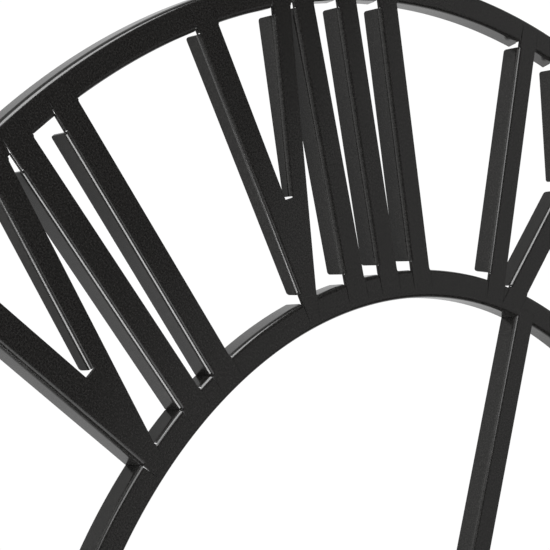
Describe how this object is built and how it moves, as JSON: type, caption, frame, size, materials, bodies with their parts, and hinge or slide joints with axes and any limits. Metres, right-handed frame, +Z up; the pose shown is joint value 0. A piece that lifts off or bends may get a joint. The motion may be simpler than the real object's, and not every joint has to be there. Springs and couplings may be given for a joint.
{
  "type": "skeleton wall clock",
  "caption": "Round open-frame garden wall clock: folded sheet-metal rings joined by Roman numerals and spokes, with hands and a battery movement at the hub.",
  "frame": {"origin": "the wall screw the clock hangs on, in the plane of the wall; the hands' axis is 379 mm below it", "axes": "+Z up, towards XII; the dial faces -Y, away from the wall; +X to the right as the dial is read"},
  "size_m": [0.8, 0.0449, 0.8],
  "materials": {
    "black_powder_coat": "fine textured satin powder coat on folded sheet steel",
    "hand_black": "satin black paint on thin aluminium",
    "zinc_plate": "zinc plated steel",
    "brass": "turned brass",
    "case_plastic": "fine matte moulded plastic",
    "nylon": "natural nylon",
    "rubber": "moulded rubber",
    "copper": "enamelled copper winding",
    "board_green": "circuit board lacquer",
    "battery_wrap": "printed film over steel can, plain"
  },
  "bodies": {
    "dial": {"outer_ring": "black_powder_coat", "inner_ring": "black_powder_coat", "hub_cup": "black_powder_coat", "spoke_3": "black_powder_coat", "spoke_6": "black_powder_coat", "spoke_9": "black_powder_coat", "spoke_12": "black_powder_coat", "numeral_1_i": "black_powder_coat", "numeral_2_i1": "black_powder_coat", "numeral_2_i2": "black_powder_coat", "numeral_3_i1": "black_powder_coat", "numeral_3_i2": "black_powder_coat", "numeral_3_i3": "black_powder_coat", "numeral_4_i1": "black_powder_coat", "numeral_4_i2": "black_powder_coat", "numeral_4_i3": "black_powder_coat", "numeral_4_i4": "black_powder_coat", "numeral_5_v": "black_powder_coat", "numeral_6_v": "black_powder_coat", "numeral_6_i": "black_powder_coat", "numeral_7_v": "black_powder_coat", "numeral_7_i1": "black_powder_coat", "numeral_7_i2": "black_powder_coat", "numeral_8_v": "black_powder_coat", "numeral_8_i1": "black_powder_coat", "numeral_8_i2": "black_powder_coat", "numeral_8_i3": "black_powder_coat", "numeral_9_i": "black_powder_coat", "numeral_9_x": "black_powder_coat", "numeral_10_x": "black_powder_coat", "numeral_11_x": "black_powder_coat", "numeral_11_i": "black_powder_coat", "numeral_12_x": "black_powder_coat", "numeral_12_i1": "black_powder_coat", "numeral_12_i2": "black_powder_coat", "hanger_bracket": "zinc_plate", "lower_spacer": "rubber", "gasket": "rubber", "washer": "brass", "hex_nut": "brass", "movement_case": "case_plastic", "rear_cover": "case_plastic", "bearing_plate": "zinc_plate", "battery": "battery_wrap", "battery_contact_negative": "zinc_plate", "battery_contact_positive": "zinc_plate", "drive_coil": "copper", "stator": "zinc_plate", "circuit_board": "board_green"},
    "minute_train": {"minute_hand": "hand_black", "cap_nut": "brass", "centre_wheel": "brass"},
    "hour_train": {"hour_hand": "hand_black", "hour_wheel": "brass"},
    "setting_wheel": {"intermediate_wheel": "nylon", "set_knob": "case_plastic"},
    "third_wheel": {"third_wheel": "nylon"},
    "rotor": {"rotor": "zinc_plate"},
    "battery_door": {"battery_cover": "case_plastic"}
  },
  "joints": [
    {"name": "minute_hand_turn", "type": "hinge", "parent": "dial", "child": "minute_train", "pos_m": [0, -0.028, -0.379], "axis": [0, 1, 0], "continuous": true},
    {"name": "hour_hand_turn", "type": "hinge", "parent": "dial", "child": "hour_train", "pos_m": [0, -0.028, -0.379], "axis": [0, 1, 0], "continuous": true},
    {"name": "set_knob_turn", "type": "hinge", "parent": "dial", "child": "setting_wheel", "pos_m": [0.012, -0.028, -0.379], "axis": [0, 1, 0], "continuous": true},
    {"name": "third_wheel_turn", "type": "hinge", "parent": "dial", "child": "third_wheel", "pos_m": [-0.0097, -0.028, -0.3734], "axis": [0, 1, 0], "continuous": true},
    {"name": "rotor_turn", "type": "hinge", "parent": "dial", "child": "rotor", "pos_m": [-0.0141, -0.028, -0.36578], "axis": [0, 1, 0], "continuous": true},
    {"name": "battery_cover_slide", "type": "slide", "parent": "dial", "child": "battery_door", "axis": [0, 0, -1], "range_m": [0, 0.019]}
  ],
  "couplings": [
    {"joint": "hour_hand_turn", "follows": "minute_hand_turn", "ratio": 0.083333},
    {"joint": "set_knob_turn", "follows": "minute_hand_turn", "ratio": -0.33333},
    {"joint": "third_wheel_turn", "follows": "minute_hand_turn", "ratio": -6},
    {"joint": "rotor_turn", "follows": "minute_hand_turn", "ratio": 27}
  ]
}
